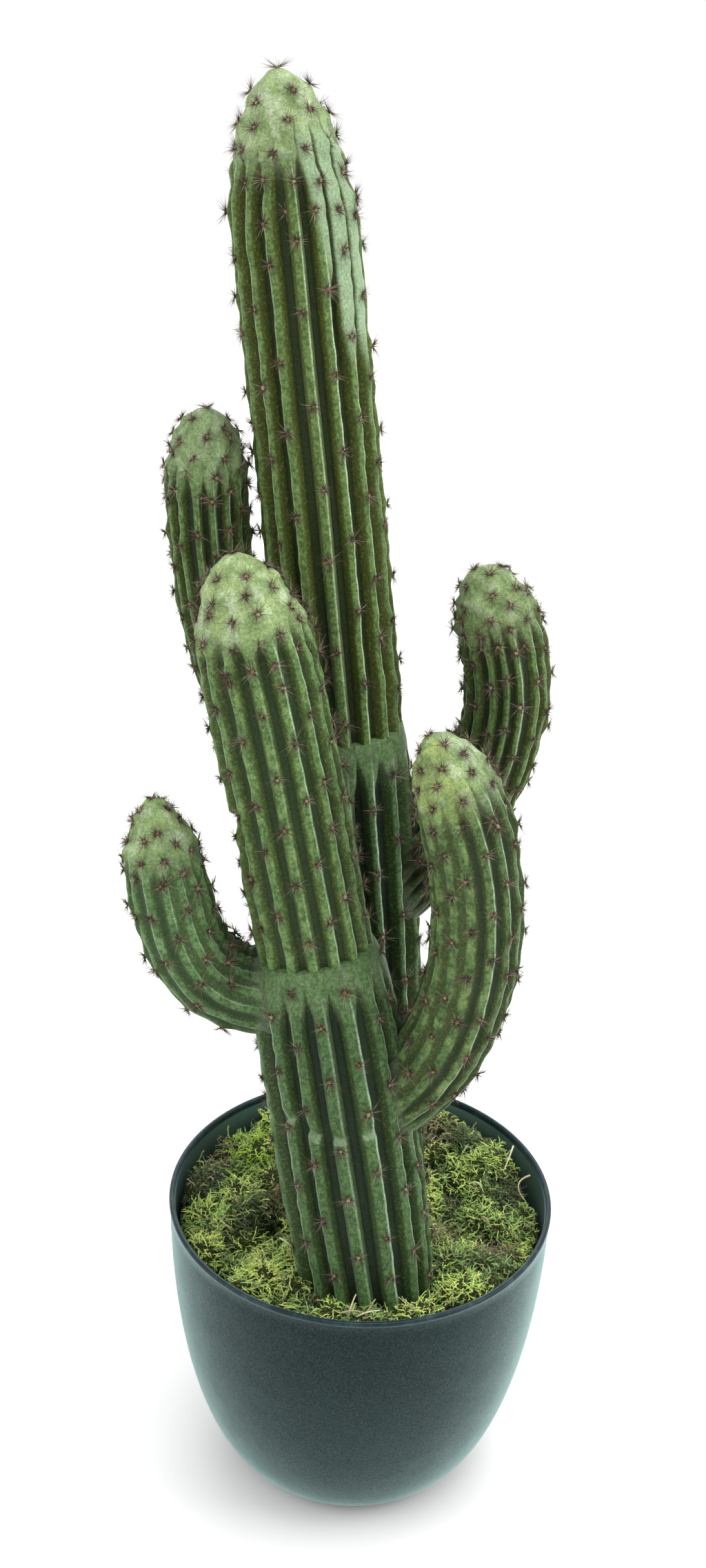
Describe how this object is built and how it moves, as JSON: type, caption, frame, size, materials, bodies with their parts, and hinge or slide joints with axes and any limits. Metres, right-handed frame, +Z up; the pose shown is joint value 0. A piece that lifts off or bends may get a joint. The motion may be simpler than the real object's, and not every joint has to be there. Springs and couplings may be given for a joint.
{
  "type": "artificial finger cactus in pot",
  "caption": "Artificial finger cactus with ribbed leaning stems and upturned arms, standing in a round dark plastic pot topped with moss.",
  "frame": {"origin": "centre of the pot's flat underside", "axes": "+Z up along the plant's height, -Y towards the front, where the shorter stem stands, +X to the right seen from the front"},
  "size_m": [0.2712, 0.25, 0.9],
  "materials": {
    "pot_plastic": "satin dark slate plastic",
    "filling_foam": "dull foam",
    "moss": "matt fibrous moss",
    "cactus_skin": "matt flocked green skin"
  },
  "bodies": {
    "root": {"pot": "pot_plastic", "filling": "filling_foam", "moss_bed": "moss", "front_stem_lower": "cactus_skin", "front_stem_upper": "cactus_skin", "rear_stem_lower": "cactus_skin", "rear_stem_upper": "cactus_skin", "front_left_arm_elbow": "cactus_skin", "front_left_arm_finger": "cactus_skin", "front_right_arm_elbow": "cactus_skin", "front_right_arm_finger": "cactus_skin", "rear_right_arm_elbow": "cactus_skin", "rear_right_arm_finger": "cactus_skin", "rear_left_arm_elbow": "cactus_skin", "rear_left_arm_finger": "cactus_skin"}
  },
  "joints": []
}
